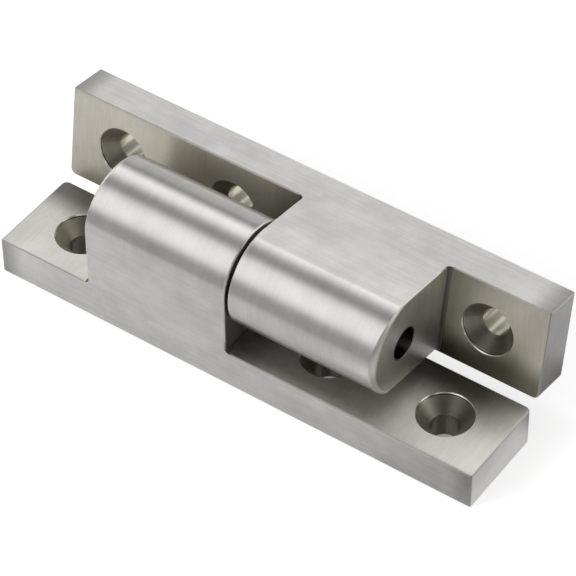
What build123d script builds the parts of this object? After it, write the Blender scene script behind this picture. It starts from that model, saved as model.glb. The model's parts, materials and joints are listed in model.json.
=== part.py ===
from build123d import *
import math
import os

# Electrical cabinet hinge. Two solid steel leaves of one form turn on one pin. Each leaf is a
# thick plate with a round-nosed knuckle over one half of it, and screw holes sunk for flat heads.
# Millimetres. X runs along the pin, Z is up. The origin is the centre of the front leaf's
# mounting face, on which the front leaf lies flat. The rear leaf stands up behind it.

# Leaf plate
leaf_length = 110.0
leaf_width = 20.8
leaf_thickness = 8.6
edge_break = 0.4
corner_radius = 1.3  # of the end corners along the free edge

# Knuckle
barrel_radius = 10.4
barrel_clearance = 3.0  # between a barrel and the other leaf's plate
free_edge_ledge = 1.0  # plate left bare behind the knuckle, along the free edge
knuckle_length = 32.85
front_knuckle_start = 0.55  # from the middle of the front leaf to its knuckle's inner end
rear_knuckle_start = -0.1  # the same on the rear leaf, whose knuckle reaches past the middle
knuckle_gap = 0.75  # between the two knuckles on the pin
nose_rounding = 1.1  # of the nose's outer rim at its tip, running out towards its flats
nose_rim_angle = 15.0  # at which the rounded rim meets the nose and the knuckle's end
foot_radius = 1.0

# Screw holes
end_hole_pitch = 85.0
middle_hole_offset = 16.2
screw_hole_diameter = 5.8
screw_head_diameter = 11.0
screw_head_angle = 90.0
screw_head_land = 0.6
rim_break = 0.2

# Pin
pin_diameter = 6.5
pin_recess = 4.0
pin_chamfer = 0.6
running_clearance = 0.05
press_interference = 0.01
bore_break = 0.15

# How far short of the stop, in degrees, the hinge stands. At the stop the free edges meet.
short_of_stop = 5.9

near_enough = 0.01  # how close to a plane an edge counts as in it

# Worked out from the sizes above
axis_height = leaf_thickness + barrel_radius + barrel_clearance
outer_edge_y = -leaf_width / 2
axis_y = outer_edge_y + barrel_radius
back_reach = min(barrel_radius, leaf_width - barrel_radius - free_edge_ledge)
pin_radius = pin_diameter / 2
rear_shift = knuckle_gap - front_knuckle_start - rear_knuckle_start
stop_angle = 2 * math.degrees(math.atan((axis_height - leaf_thickness) / (leaf_width - barrel_radius)))
leaf_angle = stop_angle - short_of_stop


def plate():
    """Solid bar that is screwed down: two rounder corners, and all other edges broken."""
    half_height = leaf_thickness / 2
    bar = Pos(0, 0, half_height) * Box(leaf_length, leaf_width, leaf_thickness)
    upright = bar.edges().filter_by(Axis.Z)
    bar = fillet(upright.filter_by(lambda edge: edge.center().Y > 0), corner_radius)
    sharp = bar.edges().filter_by(lambda edge: edge.center().Y < outer_edge_y + near_enough
                                  or abs(edge.center().Z - half_height) > half_height - near_enough)
    return fillet(sharp, edge_break)


def knuckle_section():
    """Outline across the pin: flat outer side, round nose about the pin, flat back."""
    root_z = leaf_thickness / 2
    back_y = axis_y + back_reach
    back_top_z = axis_height + math.sqrt(barrel_radius**2 - back_reach**2)
    with BuildSketch(Plane.YZ) as section:
        with BuildLine():
            Line((outer_edge_y, root_z), (outer_edge_y, axis_height))
            RadiusArc((outer_edge_y, axis_height), (axis_y, axis_height + barrel_radius), barrel_radius)
            RadiusArc((axis_y, axis_height + barrel_radius), (back_y, back_top_z), barrel_radius)
            Line((back_y, back_top_z), (back_y, root_z))
            Line((back_y, root_z), (outer_edge_y, root_z))
        make_face()
    return section.sketch


def nose_ring():
    """Cutter that rounds the nose's rim at x = 0, with the pin along X through the origin.

    It is the outside of an arc, turned about a line below the pin. The ring is larger than
    the nose by the same amount, so that it cuts most at the tip and leaves the flats alone.
    """
    run_out = nose_rounding - edge_break / 2
    ring_radius = barrel_radius + run_out
    over = 2 * nose_rounding
    half_chord = nose_rounding / math.sqrt(2)
    arc_radius = half_chord / math.sin(math.radians(45 - nose_rim_angle))
    with BuildSketch(Plane.XZ) as outline:
        with BuildLine():
            RadiusArc((-nose_rounding, ring_radius), (0, ring_radius - nose_rounding), arc_radius)
            Polyline(
                (0, ring_radius - nose_rounding),
                (over, ring_radius - nose_rounding - over),
                (over, ring_radius + over),
                (-nose_rounding - over, ring_radius + over),
                (-nose_rounding, ring_radius))
        make_face()
    ring = revolve(outline.sketch, Axis.X)
    reach = ring_radius + over
    upper_half = Pos(0, 0, reach / 2) * Box(4 * over, 2 * reach, reach)
    return Pos(0, 0, -run_out) * (ring & upper_half)


def knuckle(start):
    """Knuckle with broken ends, a rounder outer rim on its nose and a fillet all round its foot.

    The foot is filleted on a slab wider than the plate, and the slab is then trimmed
    to the foot, so that the outer side stays flush with the plate's edge.
    """
    root_z = leaf_thickness / 2
    outer_x = -start - knuckle_length
    middle_x = outer_x + knuckle_length / 2
    body = extrude(Pos(outer_x, 0, 0) * knuckle_section(), knuckle_length)
    ends = body.faces().filter_by(Axis.X)
    rims = ends.edges().filter_by(lambda edge: edge.center().Z > root_z + edge_break)
    body = fillet(rims, edge_break)
    body -= Pos(outer_x, axis_y, axis_height) * Rot(Z=180) * nose_ring()
    slab_reach = leaf_width
    slab = Pos(middle_x, 0, (root_z + leaf_thickness) / 2) * Box(
        knuckle_length + slab_reach, 2 * slab_reach, leaf_thickness - root_z)
    joined = slab + body
    level = joined.edges().filter_by_position(
        Axis.Z, leaf_thickness - near_enough, leaf_thickness + near_enough)
    half_length = knuckle_length / 2 + foot_radius
    foot = level.filter_by(lambda edge: abs(edge.center().X - middle_x) < half_length
                           and abs(edge.center().Y) < slab_reach - near_enough)
    joined = fillet(foot, foot_radius)
    back_y = min(axis_y + back_reach + foot_radius, outer_edge_y + leaf_width - edge_break)
    top_z = axis_height + barrel_radius
    trim = Pos(middle_x, (outer_edge_y + back_y) / 2, (root_z + top_z) / 2) * Box(
        2 * half_length, back_y - outer_edge_y, top_z - root_z)
    return joined & trim


def screw_hole():
    """Cutter for one screw hole, worked out as a half outline turned about Z.

    From the plate's top downwards: a broken rim, a short straight land for the head's
    edge, the cone under the head, and the drilled hole.
    """
    head_radius = screw_head_diameter / 2
    hole_radius = screw_hole_diameter / 2
    cone_depth = (head_radius - hole_radius) / math.tan(math.radians(screw_head_angle / 2))
    land_z = leaf_thickness - screw_head_land
    over = leaf_thickness + edge_break
    with BuildSketch(Plane.XZ) as outline:
        with BuildLine():
            Polyline(
                (0, -edge_break),
                (hole_radius, -edge_break),
                (hole_radius, land_z - cone_depth),
                (head_radius, land_z),
                (head_radius, leaf_thickness - rim_break),
                (head_radius + rim_break, leaf_thickness),
                (head_radius + rim_break, over),
                (0, over),
                close=True)
        make_face()
    return revolve(outline.sketch, Axis.Z)


def pin_bore(radius, start):
    """Cutter for the pin's bore, with both of its mouths broken."""
    inner_x = -start
    outer_x = inner_x - knuckle_length
    at_axis = Pos((inner_x + outer_x) / 2, axis_y, axis_height)
    bore = at_axis * Rot(Y=90) * Cylinder(radius, knuckle_length + 2 * bore_break)
    for end_x, turn in ((inner_x, 90), (outer_x, -90)):
        mouth = Pos(0, 0, -bore_break / 2) * Cone(radius, radius + bore_break, bore_break)
        bore += Pos(end_x, axis_y, axis_height) * Rot(Y=turn) * mouth
    return bore


def leaf(bore_radius, start):
    """One leaf in the place of the front one. Start places the knuckle from the middle."""
    solid = plate() + knuckle(start)
    for x in (-end_hole_pitch / 2, middle_hole_offset, end_hole_pitch / 2):
        solid -= Pos(x, 0, 0) * screw_hole()
    solid -= pin_bore(bore_radius, start)
    return solid


def front_leaf():
    """Leaf that holds the pin tight."""
    return leaf(pin_radius - press_interference, front_knuckle_start)


def rear_leaf():
    """Leaf that is free on the pin, turned end for end and stood up behind the front one."""
    to_axis = Pos(0, -axis_y, -axis_height)
    at_rest = Pos(rear_shift, axis_y, axis_height) * Rot(X=180 - leaf_angle) * Rot(Z=180)
    return at_rest * to_axis * leaf(pin_radius + running_clearance, rear_knuckle_start)


def hinge_pin():
    """Plain pin with chamfered ends, sunk in the bores at both outer ends."""
    start_x = -front_knuckle_start - knuckle_length + pin_recess
    end_x = rear_knuckle_start + knuckle_length + rear_shift - pin_recess
    rod = Cylinder(pin_radius, end_x - start_x)
    rod = chamfer(rod.edges().filter_by(GeomType.CIRCLE), pin_chamfer)
    return Pos((start_x + end_x) / 2, axis_y, axis_height) * Rot(Y=90) * rod


nodes = {
    "front_leaf": front_leaf(),
    "rear_leaf": rear_leaf(),
    "hinge_pin": hinge_pin(),
}
os.makedirs("parts", exist_ok=True)
for name, shape in nodes.items():
    shape.label = name
    export_step(shape, f"parts/{name}.step")
print("leaf angle", round(leaf_angle, 3), "stop", round(stop_angle, 3), "axis height", axis_height)
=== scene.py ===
import bpy
import json
import math
from mathutils import Euler, Matrix, Vector

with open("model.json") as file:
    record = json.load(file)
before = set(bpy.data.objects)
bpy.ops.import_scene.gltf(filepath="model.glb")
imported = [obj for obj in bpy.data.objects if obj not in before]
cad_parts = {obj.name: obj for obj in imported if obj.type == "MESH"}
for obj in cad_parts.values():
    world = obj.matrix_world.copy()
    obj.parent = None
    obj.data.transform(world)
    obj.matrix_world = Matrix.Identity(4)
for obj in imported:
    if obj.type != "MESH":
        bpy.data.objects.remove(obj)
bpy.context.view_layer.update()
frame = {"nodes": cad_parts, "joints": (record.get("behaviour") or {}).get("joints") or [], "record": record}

# Looks of a screw-on cabinet hinge in brushed stainless steel. Metres, in the model's own frame:
# X along the pin, Z up, the front leaf flat on the floor. The leaves keep their modelled shape,
# and this script gives them their finish, the studio and the camera.

MM = 0.001

# The leaves, read from the model
joint = frame["joints"][0]
pin_line = Vector(joint["pos_m"])
mounts = {mount["name"]: mount for mount in frame["record"]["mounts"]}
rear_normal = Vector(mounts["rear_mounting_face"]["axis"])
rear_centre = Vector(mounts["rear_mounting_face"]["pos_m"])
rear_turn = math.atan2(rear_normal.y, -rear_normal.z)

# Sizes on a leaf, in millimetres, in its own axes: X along the pin, Y across, Z up to the pin,
# with zero at the pin's line half way along the leaf
plate_top = -13.4
hole_places = (-42.5, 16.2, 42.5)
cone_foot = -16.6
head_radius = 5.5
bore_radius = 3.3
half_length = 55.0
end_roll = 6.0  # how far from an end the grinding belt starts to round it off
end_drop = 0.35

# Where each zone of a leaf starts and where it is full, in millimetres. First heights:
nose_start = (0.2, 3.2)
nose_rim_start = (-0.8, 0.4)
knuckle_start = (plate_top + 2.0, plate_top + 3.0)
knuckle_end_start = (plate_top, plate_top + 1.0)
foot_top = (plate_top + 1.5, plate_top + 0.9)
foot_bottom = (plate_top - 0.02, plate_top + 0.02)
recess_top = (plate_top + 0.3, plate_top + 0.1)
hole_top = (plate_top - 0.02, plate_top - 0.25)
drill_top = (cone_foot + 0.1, cone_foot - 0.1)
# Distances from a screw hole's centre line, and for the bore from the pin's line:
hole_edge = (head_radius + 0.12, head_radius - 0.02)
rim_inner_edge = (head_radius - 0.1, head_radius)
rim_outer_edge = (head_radius + 0.35, head_radius + 0.25)
bore_edge = (bore_radius + 0.4, bore_radius)
# Places along the leaf, and for the strip at the free edge across it:
outer_end_start = (-20.0, -30.0)
roll_start = (half_length - end_roll, half_length)
free_side_start = (1.0, 8.0)

# The same for what is told by the way the surface faces, as its normal's part along an axis
facing_flat = (0.75, 0.95)
facing_back = (0.93, 0.98)
facing_end = (0.6, 0.9)
facing_knuckle_end = (0.9, 0.99)
facing_up = (0.9, 0.97)
facing_outer_side = (-0.25, -0.6)
off_every_face = (0.97, 0.8)
off_the_nose = (0.12, 0.4)
off_the_end = (0.97, 0.8)
off_the_rolled_end = (0.7, 0.3)
off_the_plate = (0.995, 0.96)
off_the_knuckle_wall = (0.2, 0.35)
off_the_plate_at_rim = (0.97, 0.9)
off_the_hole_wall = (0.3, 0.5)

# Grinding marks. Grain is in marks per millimetre, and depths are in millimetres.
grain_across = 2.6
grain_along = 0.2
grain_along_flats = 0.4 * grain_along
fine_marks = {"scale": 1.0, "detail": 3.0, "roughness": 0.7}
coarse_marks = {"scale": 0.35, "detail": 2.0, "roughness": 0.6}
grit_marks = {"scale": grain_across, "detail": 2.0, "roughness": 0.6}
cloud_marks = {"scale": 0.16, "detail": 3.0, "roughness": 0.55}
fine_part = 0.45
coarse_part = 0.3
grit_part = 0.25
mark_depth = 0.0024
feather_marks = {"scale": 0.5, "detail": 3.0}
feather_reach = 0.6  # of the uneven border between the flats' marks and the nose's

# Steel
nose_light = (0.73, 0.72, 0.70)
nose_dark = (0.62, 0.605, 0.585)
flat_light = (0.92, 0.91, 0.89)
flat_dark = (0.74, 0.73, 0.71)
pin_light = (0.34, 0.33, 0.32)
pin_dark = (0.24, 0.23, 0.22)
mark_part = 0.65  # of a mark in the tone between dark and light
cloud_part = 0.35
tone_limits = (0.35, 0.65)
leaf_gloss_stretch = 0.7
pin_gloss_stretch = 0.4

# How much of the brushed steel's colour each place keeps, over 1 where it is brighter. Painted
# shade darkens the front leaf's flats, and painted light brightens the rear leaf's towards its nose.
outer_side_painted_light = {"front_leaf": 0.86, "rear_leaf": 0.96}
nose_side_painted_light = {"front_leaf": 0.86, "rear_leaf": 1.06}
nose_side_start = (-9.0, 0.0)  # millimetres from the pin's line
recess_share = {"front_leaf": (1.04, 1.03, 1.005), "rear_leaf": (1.06, 1.03, 0.93)}
# Painted shade on the flats' rolled-off ends, on top of the bump that tilts them
rolled_end_painted_shade = (0.6, 0.59, 0.58)
# Painted shade on the straight broken edges
edge_painted_shade = (0.68, 0.67, 0.65)
# Painted highlight on the knuckle's broken edges and nose rim
knuckle_edge_painted_highlight = (1.25, 1.21, 1.12)
# Painted light on the knuckle's outer end face
knuckle_end_painted_light = (1.25, 1.25, 1.21)
# Painted shade in the fillet at the foot of the knuckle
foot_painted_shade = (0.38, 0.37, 0.34)
cone_share = (0.95, 0.92, 0.82)
cone_shade_share = (0.38, 0.37, 0.32)  # on the side of a cone that faces the knuckle's outer side
drill_share = (0.9, 0.87, 0.76)
# Painted highlight on the broken rim round each screw hole
rim_painted_highlight = (1.25, 1.24, 1.22)
# Painted shade in the knuckle's bore
bore_painted_shade = (0.25, 0.24, 0.24)
# Painted shade along the free edge, as far as this place on the leaf, in millimetres
free_side_painted_shade = {"front_leaf": (0.28, 0.275, 0.26), "rear_leaf": (0.3, 0.295, 0.27)}
free_side_end = {"front_leaf": 54.0, "rear_leaf": 8.0}
free_side_fade = 10.0
# Painted shade in the inside corners at a knuckle's ends, at these places along the leaf in millimetres
corner_painted_shade = (0.55, 0.55, 0.52)
corner_places = {"front_leaf": (0.0,), "rear_leaf": (0.0, -33.0)}
corner_reach = 9.0

# Roughness. The marks, the flats and the recess add theirs, and the other places have their own.
nose_roughness = 0.26
mark_roughness = 0.16
flat_roughness = 0.25
recess_roughness = 0.08
hole_roughness = 0.17
hole_mark_roughness = 0.1
edge_roughness = 0.5
knuckle_edge_roughness = 0.4
rim_roughness = 0.25
pin_roughness = 0.25
pin_mark_roughness = 0.2

# Camera, at the photograph's viewing angle
camera_place = Vector((256.176, -349.628, 452.186)) * MM
camera_azimuth = 35.494
camera_elevation = 45.077
camera_roll = -0.66
camera_lens = 202.401
camera_sensor = 36.0
camera_clip = (0.01, 20.0)

# Light tent, as the steel mirrors it. Angles run over the object from the back to the front,
# round the pin's direction: start, end and softness in degrees, then the level against white at
# the panel's left and its right end.
tent_level = 1.12
tent_panels = {
    "back_wall": (-90, 30, 8, 0.5, 0.9),
    "back_gap": (30, 46, 5, 0.1, 0.9),
    "back_lamp": (52, 67, 6, 1.38, 0.9),
    "overhead_gap": (80, 109, 7, 0.29, 0.1),
    "front_lamp": (122, 155, 10, 1.2, 0.15),
    "front_gap": (165, 190, 9, 0.35, 0.1),
}
# The level between the panels at either end, and where the left end passes into the right one,
# as the part along X of the direction to it
left_side_level = 1.0
right_side_level = 0.6
right_side_start = (-0.2, 0.3)
matt_strength = 0.55  # of the tent's light on the matt floor

# Floor, as the steel mirrors it: its own light against white, which falls from left to right
floor_left = 0.55
floor_right = 0.25
floor_ends = (-60.0, 60.0)
# Painted shadow on the floor beside the front leaf, as the steel mirrors it
close_painted_shadow_share = 0.65  # of that light beside the front leaf
close_start = (-22.0, -12.0)
floor_far = 0.05  # far in front, which makes the lower gap in the gloss
far_start = (-60.0, -90.0)
floor_back = 0.9  # behind the hinge, and beyond its right end only further back
back_start = (22.0, 34.0)
far_back_start = (60.0, 80.0)
right_end_start = (48.0, 54.0)
# Painted shadow on the floor under the front leaf
under_leaf_painted_shadow_level = 0.05
under_leaf_length = (54.5, 52.5)  # from the leaf's middle: where its cover starts, and is full
under_leaf_width = (10.0, 8.0)
# Cards that lie on it at the right: lowest and highest X, lowest and highest Y, and level
floor_cards = {
    "light_card": (14, 34, -48, -22, 0.65),
    "white_card": (53, 61, -30, 13, 0.65),
    "black_card": (34, 51, -70, -8, 0.05),
    "grey_card": (53, 110, 17, 70, 0.26),
    "dark_card": (53, 68, 16, 31, 0.0),
}
card_softness = 3

# Floor, as the camera sees it. The lift brings it up to white, less so under the front leaf, where a shadow
# is painted.
floor_reach = 3.0  # metres
floor_color = (0.7, 0.7, 0.7)
floor_mirrored_color = (0.35, 0.35, 0.35)  # its matt part, as the steel mirrors it
floor_lift = 0.6
under_leaf_painted_shadow_share = 0.3

# Lamp over the floor, in metres and watts
lamp_place = (-0.26, -0.42, 0.36)
lamp_aim = (0, -0.02, 0)
lamp_size = (0.3, 0.2)
lamp_power = 1.35


def leaf_to_pin(node):
    """Matrix from a leaf's place at rest to its own axes, which start at the pin."""
    if node == "front_leaf":
        return Matrix.Translation(-pin_line)
    back = Matrix.Rotation(math.pi, 4, "Z") @ Matrix.Rotation(-rear_turn, 4, "X")
    return back @ Matrix.Translation(-Vector((rear_centre.x, pin_line.y, pin_line.z)))


class Nodes:
    """Short way to add and link nodes in one tree."""

    def __init__(self, tree):
        self.tree = tree

    def add(self, kind, **settings):
        node = self.tree.nodes.new(kind)
        for name, value in settings.items():
            setattr(node, name, value)
        return node

    def feed(self, socket, value):
        if isinstance(value, bpy.types.NodeSocket):
            self.tree.links.new(value, socket)
        else:
            socket.default_value = value

    def math(self, operation, a, b=0.0, c=0.0):
        node = self.add("ShaderNodeMath", operation=operation)
        for socket, value in zip(node.inputs, (a, b, c)):
            self.feed(socket, value)
        return node.outputs[0]

    def product(self, first, *others):
        """Product of shares, which is the share of where they all hold."""
        for other in others:
            first = self.math("MULTIPLY", first, other)
        return first

    def without(self, share):
        """What a share leaves of one."""
        return self.math("SUBTRACT", 1.0, share)

    def step(self, value, limits, to_low=0.0, to_high=1.0):
        """Smooth step of a value from the first limit to the second."""
        node = self.add("ShaderNodeMapRange", interpolation_type="SMOOTHSTEP")
        for socket, number in zip(node.inputs, (value, *limits, to_low, to_high)):
            self.feed(socket, number)
        return node.outputs[0]

    def between(self, value, start, end, softness):
        """Share between a start and an end, with soft borders."""
        after_start = self.step(value, (start - softness, start + softness))
        return self.product(after_start, self.step(value, (end + softness, end - softness)))

    def vector(self, operation, a, b=(0.0, 0.0, 0.0)):
        node = self.add("ShaderNodeVectorMath", operation=operation)
        self.feed(node.inputs[0], a)
        self.feed(node.inputs[1], b)
        return node.outputs["Value"] if operation == "LENGTH" else node.outputs[0]

    def turn(self, vector, convert_from, convert_to):
        node = self.add("ShaderNodeVectorTransform", vector_type="VECTOR", convert_from=convert_from,
                        convert_to=convert_to)
        self.feed(node.inputs[0], vector)
        return node.outputs[0]

    def map(self, vector, matrix, vector_type="POINT"):
        node = self.add("ShaderNodeMapping", vector_type=vector_type)
        self.feed(node.inputs["Vector"], vector)
        if vector_type == "POINT":
            node.inputs["Location"].default_value = matrix.to_translation()
        node.inputs["Rotation"].default_value = matrix.to_euler()
        return node.outputs[0]

    def split(self, vector):
        node = self.add("ShaderNodeSeparateXYZ")
        self.feed(node.inputs[0], vector)
        return node.outputs

    def join(self, x, y, z):
        node = self.add("ShaderNodeCombineXYZ")
        for socket, value in zip(node.inputs, (x, y, z)):
            self.feed(socket, value)
        return node.outputs[0]

    def noise(self, vector, scale, detail, roughness=0.5):
        node = self.add("ShaderNodeTexNoise")
        self.feed(node.inputs["Vector"], vector)
        for name, number in (("Scale", scale), ("Detail", detail), ("Roughness", roughness)):
            self.feed(node.inputs[name], number)
        return node.outputs["Fac"]

    def mix(self, share, a, b, data_type="FLOAT"):
        node = self.add("ShaderNodeMix", data_type=data_type)
        sockets = [socket for socket in node.inputs if socket.enabled]
        for socket, value in zip(sockets, (share, a, b)):
            self.feed(socket, value)
        return next(socket for socket in node.outputs if socket.enabled)

    def tint(self, share, a, b):
        """Mix of two colours, each given as a socket or as red, green and blue."""
        return self.mix(share, (*a, 1.0) if isinstance(a, tuple) else a,
                        (*b, 1.0) if isinstance(b, tuple) else b, "RGBA")


def new_group(name, inputs, outputs):
    """Empty node group. Its named inputs are vectors, and its named outputs are values."""
    tree = bpy.data.node_groups.new(name, "ShaderNodeTree")
    for socket_name in inputs:
        tree.interface.new_socket(socket_name, in_out="INPUT", socket_type="NodeSocketVector")
    for socket_name in outputs:
        tree.interface.new_socket(socket_name, in_out="OUTPUT", socket_type="NodeSocketFloat")
    n = Nodes(tree)
    return tree, n, n.add("NodeGroupInput").outputs, n.add("NodeGroupOutput").inputs


def brush_marks_group():
    """Marks of a grinding belt: streaks in two strengths among fine grit, and slow clouds.

    Grain holds the marks per millimetre along each of the leaf's axes, small along the stroke.
    """
    tree, n, given, out = new_group("brush_marks", ("Place", "Grain"), ("Streaks", "Clouds"))
    stretched = n.vector("MULTIPLY", given["Place"], given["Grain"])
    fine = n.noise(stretched, **fine_marks)
    coarse = n.noise(stretched, **coarse_marks)
    grit = n.noise(given["Place"], **grit_marks)
    streaks = n.math("MULTIPLY_ADD", fine, fine_part, n.math("MULTIPLY", coarse, coarse_part))
    n.feed(out["Streaks"], n.math("MULTIPLY_ADD", grit, grit_part, streaks))
    n.feed(out["Clouds"], n.noise(given["Place"], **cloud_marks))
    return tree


def from_nearest_hole(n, place):
    """Distance from the nearest screw hole's centre line."""
    x, y = n.split(place)[:2]
    nearest = half_length
    for hole_x in hole_places:
        from_hole = n.vector("LENGTH", n.join(n.math("SUBTRACT", x, hole_x), y, 0.0))
        nearest = n.math("MINIMUM", nearest, from_hole)
    return nearest


def mounting_face(n, normal):
    """Share of the mounting face, whose normal points down in the leaf's own axes."""
    start, full = facing_flat
    return n.step(n.split(normal)[2], (-start, -full))


def lengthwise_face(n, place, normal):
    """Share of the flats that are brushed lengthwise, blended into the nose by uneven marks.

    The nose is tangent to the outer side, and the knuckle's flat back ends at the nose.
    """
    feather = n.math("MULTIPLY", n.noise(place, **feather_marks), feather_reach)
    nose = n.step(n.math("SUBTRACT", n.split(place)[2], feather), nose_start)
    facing_y = n.split(normal)[1]
    side = n.step(n.math("ABSOLUTE", facing_y), facing_flat)
    flat = n.product(n.math("MAXIMUM", side, mounting_face(n, normal)), n.without(nose))
    return n.math("MAXIMUM", flat, n.step(facing_y, facing_back))


def inside_hole(n, place, normal):
    """Share of a screw hole's walls, from the land at the plate's top to the drilled hole."""
    in_circle = n.step(from_nearest_hole(n, place), hole_edge)
    below_top = n.step(n.split(place)[2], hole_top)
    return n.product(in_circle, n.without(mounting_face(n, normal)), below_top)


def leaf_zones_group():
    """Where a leaf is what, from the place in millimetres and the normal, in its own axes.

    Away is the distance from the nearest screw hole's centre line, in millimetres. The other
    outputs run from zero to one, and Drop grows with the square of the way along the roll.
    """
    tree, n, given, out = new_group(
        "leaf_zones", ("Place", "Normal"),
        ("Lengthwise", "End", "Away", "Hole", "Drill", "Shady", "Rim", "Bore", "Edge",
         "Knuckle edge", "Knuckle end", "Foot", "Recess", "Free side", "Roll", "Drop"))
    x, y, z = n.split(given["Place"])
    facing_y, upright = n.split(given["Normal"])[1:]
    slope_x, slope_y, slope_z = n.split(n.vector("ABSOLUTE", given["Normal"]))

    flat = lengthwise_face(n, given["Place"], given["Normal"])
    n.feed(out["Lengthwise"], flat)
    n.feed(out["End"], n.step(slope_x, facing_end))

    away = from_nearest_hole(n, given["Place"])
    n.feed(out["Away"], away)
    n.feed(out["Hole"], inside_hole(n, given["Place"], given["Normal"]))
    n.feed(out["Drill"], n.step(z, drill_top))
    n.feed(out["Shady"], n.step(facing_y, facing_outer_side))
    around = n.product(n.step(away, rim_inner_edge), n.step(away, rim_outer_edge))
    slanted = n.product(n.step(upright, off_the_plate_at_rim), n.step(upright, off_the_hole_wall))
    n.feed(out["Rim"], n.product(around, slanted))
    from_pin = n.vector("LENGTH", n.join(0.0, y, z))
    n.feed(out["Bore"], n.step(from_pin, bore_edge))

    largest = n.math("MAXIMUM", slope_x, n.math("MAXIMUM", slope_y, slope_z))
    straight_edge = n.step(largest, off_every_face)
    nose_rim = n.product(n.step(slope_x, off_the_nose), n.step(slope_x, off_the_end))
    on_knuckle = n.step(z, knuckle_start)
    n.feed(out["Edge"], n.product(straight_edge, n.without(on_knuckle)))
    knuckle_edge = n.mix(n.step(z, nose_rim_start), straight_edge, nose_rim)
    n.feed(out["Knuckle edge"], n.product(knuckle_edge, on_knuckle))
    on_end = n.product(n.step(z, knuckle_end_start), n.step(slope_x, facing_knuckle_end))
    n.feed(out["Knuckle end"], n.product(on_end, n.step(x, outer_end_start)))

    at_foot = n.product(n.step(z, foot_top), n.step(z, foot_bottom))
    curved = n.product(n.step(upright, off_the_knuckle_wall), n.step(upright, off_the_plate))
    n.feed(out["Foot"], n.product(at_foot, curved))
    recess = n.product(n.step(upright, facing_up), n.step(z, recess_top))
    n.feed(out["Recess"], recess)
    n.feed(out["Free side"], n.product(recess, n.step(y, free_side_start)))

    from_middle = n.math("ABSOLUTE", x)
    n.feed(out["Roll"], n.product(flat, n.step(from_middle, roll_start)))
    past = n.math("SUBTRACT", from_middle, half_length - end_roll)
    past = n.math("MAXIMUM", n.math("MULTIPLY", past, 1 / end_roll), 0.0)
    n.feed(out["Drop"], n.product(past, past, n.step(slope_x, off_the_rolled_end)))
    return tree


def new_metal(name, gloss_stretch):
    """Metal whose gloss is stretched, with its nodes and its shader."""
    material = bpy.data.materials.new(name)
    material.use_nodes = True
    shader = material.node_tree.nodes["Principled BSDF"]
    shader.inputs["Metallic"].default_value = 1.0
    shader.inputs["Anisotropic"].default_value = gloss_stretch
    return material, Nodes(material.node_tree), shader


def raise_surface(n, shader, height):
    """Bump by a height in millimetres."""
    bump = n.add("ShaderNodeBump")
    bump.inputs["Strength"].default_value = 1.0
    bump.inputs["Distance"].default_value = MM
    n.feed(bump.inputs["Height"], height)
    n.feed(shader.inputs["Normal"], bump.outputs[0])


def leaf_marks(n, place, zone, marks_group):
    """Streaks that follow each zone's stroke, and the clouds."""
    rings = n.join(zone["Away"], n.split(place)[2], 0.0)
    strokes = {
        "turned": (rings, (grain_across, grain_across, 1.0)),
        "along": (place, (grain_along_flats, grain_across, grain_across)),
        "across": (place, (grain_across, grain_along, grain_along)),
        "end": (place, (grain_across, grain_along, grain_across)),
    }
    streaks = {}
    for name, (where, grain) in strokes.items():
        marks = n.add("ShaderNodeGroup", node_tree=marks_group)
        n.feed(marks.inputs["Place"], where)
        n.feed(marks.inputs["Grain"], grain)
        streaks[name] = marks.outputs["Streaks"]
    mark = n.mix(zone["Lengthwise"], streaks["across"], streaks["along"])
    mark = n.mix(zone["End"], mark, streaks["end"])
    return n.mix(zone["Hole"], mark, streaks["turned"]), marks.outputs["Clouds"]


def inside_corners(n, node_name, place):
    """Share that grows along the leaf towards the inside corners at a knuckle's ends, where shade is
    painted.
    """
    x = n.split(place)[0]
    corner = 0.0
    for corner_x in corner_places[node_name]:
        from_corner = n.math("ABSOLUTE", n.math("SUBTRACT", x, corner_x))
        corner = n.math("MAXIMUM", corner, n.step(from_corner, (corner_reach, 0.0)))
    return corner


def free_side_shade_reach(n, node_name, place):
    """Share of the leaf's length along which the free edge gets painted shade."""
    dull_end = free_side_end[node_name]
    return n.step(n.split(place)[0], (dull_end, dull_end - free_side_fade))


def plain_leaf_color(n, node_name, place, zone, mark, clouds):
    """Colour of the brushed steel before its places are told apart, lighter on its marks."""
    tone = n.math("MULTIPLY_ADD", clouds, cloud_part, n.math("MULTIPLY", mark, mark_part))
    tone = n.step(tone, tone_limits)
    # Painted shade and painted light on the flats: darker on the front leaf, lighter on the rear leaf
    # towards its nose
    share = n.step(n.split(place)[2], nose_side_start, outer_side_painted_light[node_name],
                   nose_side_painted_light[node_name])
    flat_color = n.vector("MULTIPLY", n.tint(tone, flat_dark, flat_light), n.join(share, share, share))
    return n.tint(zone["Lengthwise"], n.tint(tone, nose_dark, nose_light), flat_color)


def leaf_color(n, node_name, place, zone, edge, mark, clouds):
    """Colour of the brushed steel, darker or lighter place by place, mostly as painted shade and painted
    highlights.
    """
    color = plain_leaf_color(n, node_name, place, zone, mark, clouds)
    free_side = n.product(zone["Free side"], free_side_shade_reach(n, node_name, place))
    corner = n.product(zone["Recess"], inside_corners(n, node_name, place))
    in_hole = n.tint(zone["Drill"], n.tint(zone["Shady"], cone_share, cone_shade_share), drill_share)
    shares = (
        (zone["Recess"], recess_share[node_name]),
        (free_side, free_side_painted_shade[node_name]),
        (corner, corner_painted_shade),
        (zone["Roll"], rolled_end_painted_shade),
        (edge, edge_painted_shade),
        (zone["Knuckle edge"], knuckle_edge_painted_highlight),
        (zone["Knuckle end"], knuckle_end_painted_light),
        (zone["Foot"], foot_painted_shade),
        (zone["Hole"], in_hole),
        (zone["Rim"], rim_painted_highlight),
        (zone["Bore"], bore_painted_shade),
    )
    for mask, share in shares:
        color = n.vector("MULTIPLY", color, n.tint(mask, (1.0, 1.0, 1.0), share))
    return color


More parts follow.
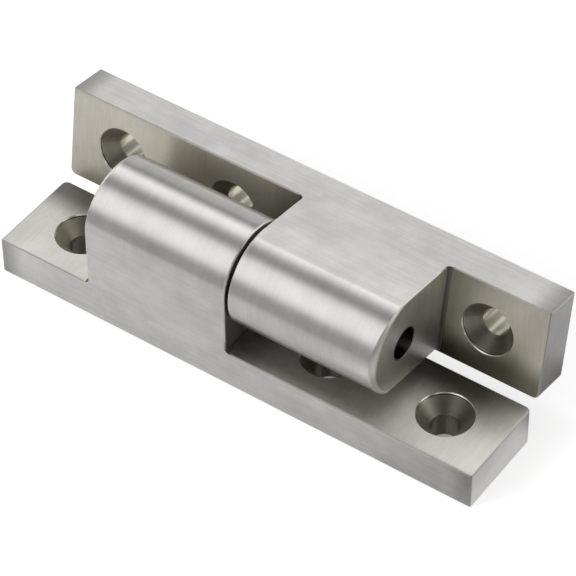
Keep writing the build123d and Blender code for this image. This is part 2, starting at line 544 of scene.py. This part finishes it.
def leaf_roughness(n, zone, edge, mark):
    """Roughness of the brushed steel, higher on its marks and on the broken edges."""
    rough = n.math("MULTIPLY_ADD", mark, mark_roughness, nose_roughness)
    rough = n.mix(zone["Lengthwise"], rough, n.math("ADD", rough, flat_roughness))
    rough = n.math("MULTIPLY_ADD", zone["Recess"], recess_roughness, rough)
    in_hole = n.math("MULTIPLY_ADD", mark, hole_mark_roughness, hole_roughness)
    rough = n.mix(n.math("MAXIMUM", zone["Hole"], zone["Bore"]), rough, in_hole)
    rough = n.mix(edge, rough, edge_roughness)
    rough = n.mix(zone["Knuckle edge"], rough, knuckle_edge_roughness)
    return n.mix(zone["Rim"], rough, rim_roughness)


def across_the_stroke(n, to_pin, place, normal, own_normal):
    """Direction along the surface and square to the stroke, which sets how the gloss stretches."""
    to_object = to_pin.to_3x3().inverted()
    stroke_along = n.turn((1.0, 0.0, 0.0), "OBJECT", "WORLD")
    stroke_across = n.turn(to_object @ Vector((0.0, 1.0, 0.0)), "OBJECT", "WORLD")
    up = n.turn(to_object @ Vector((0.0, 0.0, 1.0)), "OBJECT", "WORLD")
    stroke = n.mix(lengthwise_face(n, place, own_normal), stroke_across, stroke_along, "VECTOR")
    around = n.vector("CROSS_PRODUCT", up, normal)
    stroke = n.mix(inside_hole(n, place, own_normal), stroke, around, "VECTOR")
    return n.vector("NORMALIZE", n.vector("CROSS_PRODUCT", normal, stroke))


def leaf_steel(node_name, marks_group, zones_group):
    """Brushed stainless steel of one leaf."""
    material, n, shader = new_metal(node_name + "_steel", leaf_gloss_stretch)
    to_pin = leaf_to_pin(node_name)
    in_metres = n.map(n.add("ShaderNodeTexCoord").outputs["Object"], to_pin)
    place = n.vector("DIVIDE", in_metres, (MM, MM, MM))
    normal = n.add("ShaderNodeNewGeometry").outputs["Normal"]
    own_normal = n.map(n.turn(normal, "WORLD", "OBJECT"), to_pin, "VECTOR")
    zones = n.add("ShaderNodeGroup", node_tree=zones_group)
    n.feed(zones.inputs["Place"], place)
    n.feed(zones.inputs["Normal"], own_normal)
    zone = zones.outputs

    mark, clouds = leaf_marks(n, place, zone, marks_group)
    edge = n.product(zone["Edge"], n.without(zone["Rim"]))
    n.feed(shader.inputs["Base Color"], leaf_color(n, node_name, place, zone, edge, mark, clouds))
    n.feed(shader.inputs["Roughness"], leaf_roughness(n, zone, edge, mark))
    n.feed(shader.inputs["Tangent"], across_the_stroke(n, to_pin, place, normal, own_normal))
    grooves = n.math("MULTIPLY", mark, mark_depth)
    raise_surface(n, shader, n.math("MULTIPLY_ADD", zone["Drop"], -end_drop, grooves))
    return material


def ground_pin(marks_group):
    """Pin steel, ground round its length and turned in rings on its ends."""
    material, n, shader = new_metal("ground_pin", pin_gloss_stretch)
    from_pin = n.vector("SUBTRACT", n.add("ShaderNodeTexCoord").outputs["Object"], tuple(pin_line))
    x, y, z = n.split(n.vector("DIVIDE", from_pin, (MM, MM, MM)))
    marks = n.add("ShaderNodeGroup", node_tree=marks_group)
    n.feed(marks.inputs["Place"], n.join(x, n.vector("LENGTH", n.join(0.0, y, z)), 0.0))
    n.feed(marks.inputs["Grain"], (grain_across, grain_across, 1.0))
    mark = marks.outputs["Streaks"]
    n.feed(shader.inputs["Base Color"], n.tint(n.step(mark, tone_limits), pin_dark, pin_light))
    n.feed(shader.inputs["Roughness"], n.math("MULTIPLY_ADD", mark, pin_mark_roughness, pin_roughness))
    raise_surface(n, shader, n.math("MULTIPLY", mark, mark_depth))
    return material


def rays(n):
    """The kinds of ray that meet the plain background: the camera's, and a gloss's or glass's."""
    path = n.add("ShaderNodeLightPath")
    return path.outputs["Is Camera Ray"], n.math("MAXIMUM", path.outputs["Is Glossy Ray"],
                                                 path.outputs["Is Transmission Ray"])


def light_tent():
    """White for the camera, and soft panels and gaps round the pin's direction for the gloss."""
    world = bpy.data.worlds.new("tent")
    bpy.context.scene.world = world
    world.use_nodes = True
    n = Nodes(world.node_tree)
    background = world.node_tree.nodes["Background"]
    seen, mirrored = rays(n)
    x, y, z = n.split(n.add("ShaderNodeTexCoord").outputs["Generated"])
    angle = n.math("DEGREES", n.math("ARCTAN2", z, y))
    rightward = n.step(x, right_side_start)
    level = n.mix(rightward, left_side_level, right_side_level)
    for start, end, softness, left_level, right_level in tent_panels.values():
        inside = n.between(angle, start, end, softness)
        level = n.mix(inside, level, n.mix(rightward, left_level, right_level))
    strength = n.mix(mirrored, matt_strength, n.math("MULTIPLY", level, tent_level))
    n.feed(background.inputs["Color"], (1.0, 1.0, 1.0, 1.0))
    n.feed(background.inputs["Strength"], n.mix(seen, strength, 1.0))


def mirrored_floor_level(n, x, y, under_leaf):
    """Level of the floor's own light as the steel mirrors it."""
    level = n.step(x, floor_ends, floor_left, floor_right)
    level = n.product(level, n.step(y, close_start, 1.0, close_painted_shadow_share))
    for low_x, high_x, low_y, high_y, card_level in floor_cards.values():
        in_x = n.between(x, low_x, high_x, card_softness)
        in_y = n.between(y, low_y, high_y, card_softness)
        level = n.mix(n.product(in_x, in_y), level, card_level)
    level = n.mix(n.step(y, far_start), level, floor_far)
    behind = n.product(n.step(y, back_start), n.without(n.step(x, right_end_start)))
    level = n.mix(n.math("MAXIMUM", behind, n.step(y, far_back_start)), level, floor_back)
    # Painted shadow under the front leaf
    return n.mix(under_leaf, level, under_leaf_painted_shadow_level)


def white_floor():
    """Matt white for the camera, with the lamp's shadow on it, and levels of light for the gloss."""
    material = bpy.data.materials.new("white_floor")
    material.use_nodes = True
    tree = material.node_tree
    tree.nodes.clear()
    n = Nodes(tree)
    output = n.add("ShaderNodeOutputMaterial")
    matt = n.add("ShaderNodeBsdfDiffuse")
    lift = n.add("ShaderNodeEmission")
    seen, mirrored = rays(n)
    place = n.vector("DIVIDE", n.add("ShaderNodeTexCoord").outputs["Object"], (MM, MM, MM))
    x, y = n.split(place)[:2]
    # Painted shadow on the floor under the front leaf, for the camera and the gloss
    under_leaf = n.product(n.step(n.math("ABSOLUTE", x), under_leaf_length),
                           n.step(n.math("ABSOLUTE", y), under_leaf_width))
    level = n.product(mirrored, mirrored_floor_level(n, x, y, under_leaf))
    seen = n.product(seen, n.mix(under_leaf, 1.0, under_leaf_painted_shadow_share))
    n.feed(matt.inputs["Color"], n.tint(mirrored, floor_color, floor_mirrored_color))
    n.feed(lift.inputs["Strength"], n.math("MULTIPLY_ADD", seen, floor_lift, level))
    total = n.add("ShaderNodeAddShader")
    tree.links.new(matt.outputs[0], total.inputs[0])
    tree.links.new(lift.outputs[0], total.inputs[1])
    tree.links.new(total.outputs[0], output.inputs[0])
    return material


def floor():
    """Square floor in one face, with the model's origin at its middle."""
    mesh = bpy.data.meshes.new("floor")
    corners = [(-1, -1), (1, -1), (1, 1), (-1, 1)]
    mesh.from_pydata([(x * floor_reach, y * floor_reach, 0) for x, y in corners], [], [(0, 1, 2, 3)])
    plane = bpy.data.objects.new("floor", mesh)
    bpy.context.scene.collection.objects.link(plane)
    mesh.materials.append(white_floor())


def lamp():
    """Area lamp that lights the floor. The steel mirrors the tent instead."""
    data = bpy.data.lights.new("key", "AREA")
    data.shape = "RECTANGLE"
    data.size, data.size_y = lamp_size
    data.energy = lamp_power
    obj = bpy.data.objects.new("key", data)
    bpy.context.scene.collection.objects.link(obj)
    obj.location = lamp_place
    obj.rotation_mode = "QUATERNION"
    obj.rotation_quaternion = (Vector(lamp_aim) - Vector(lamp_place)).to_track_quat("-Z", "Y")
    obj.visible_glossy = False


def camera():
    """Camera at the photograph's viewing angle."""
    data = bpy.data.cameras.new("camera")
    data.lens = camera_lens
    data.sensor_width = camera_sensor
    data.clip_start, data.clip_end = camera_clip
    obj = bpy.data.objects.new("camera", data)
    bpy.context.scene.collection.objects.link(obj)
    aim = Euler((math.radians(90 - camera_elevation), 0, math.radians(camera_azimuth))).to_matrix()
    roll = Matrix.Rotation(math.radians(camera_roll), 3, "Z")
    obj.matrix_world = Matrix.Translation(camera_place) @ (aim @ roll).to_4x4()
    bpy.context.scene.camera = obj


brush_marks = brush_marks_group()
leaf_zones = leaf_zones_group()
for leaf in ("front_leaf", "rear_leaf"):
    frame["nodes"][leaf].data.materials[0] = leaf_steel(leaf, brush_marks, leaf_zones)
frame["nodes"]["hinge_pin"].data.materials[0] = ground_pin(brush_marks)

light_tent()
floor()
lamp()
camera()

scene = bpy.context.scene
scene.view_settings.view_transform = "Standard"
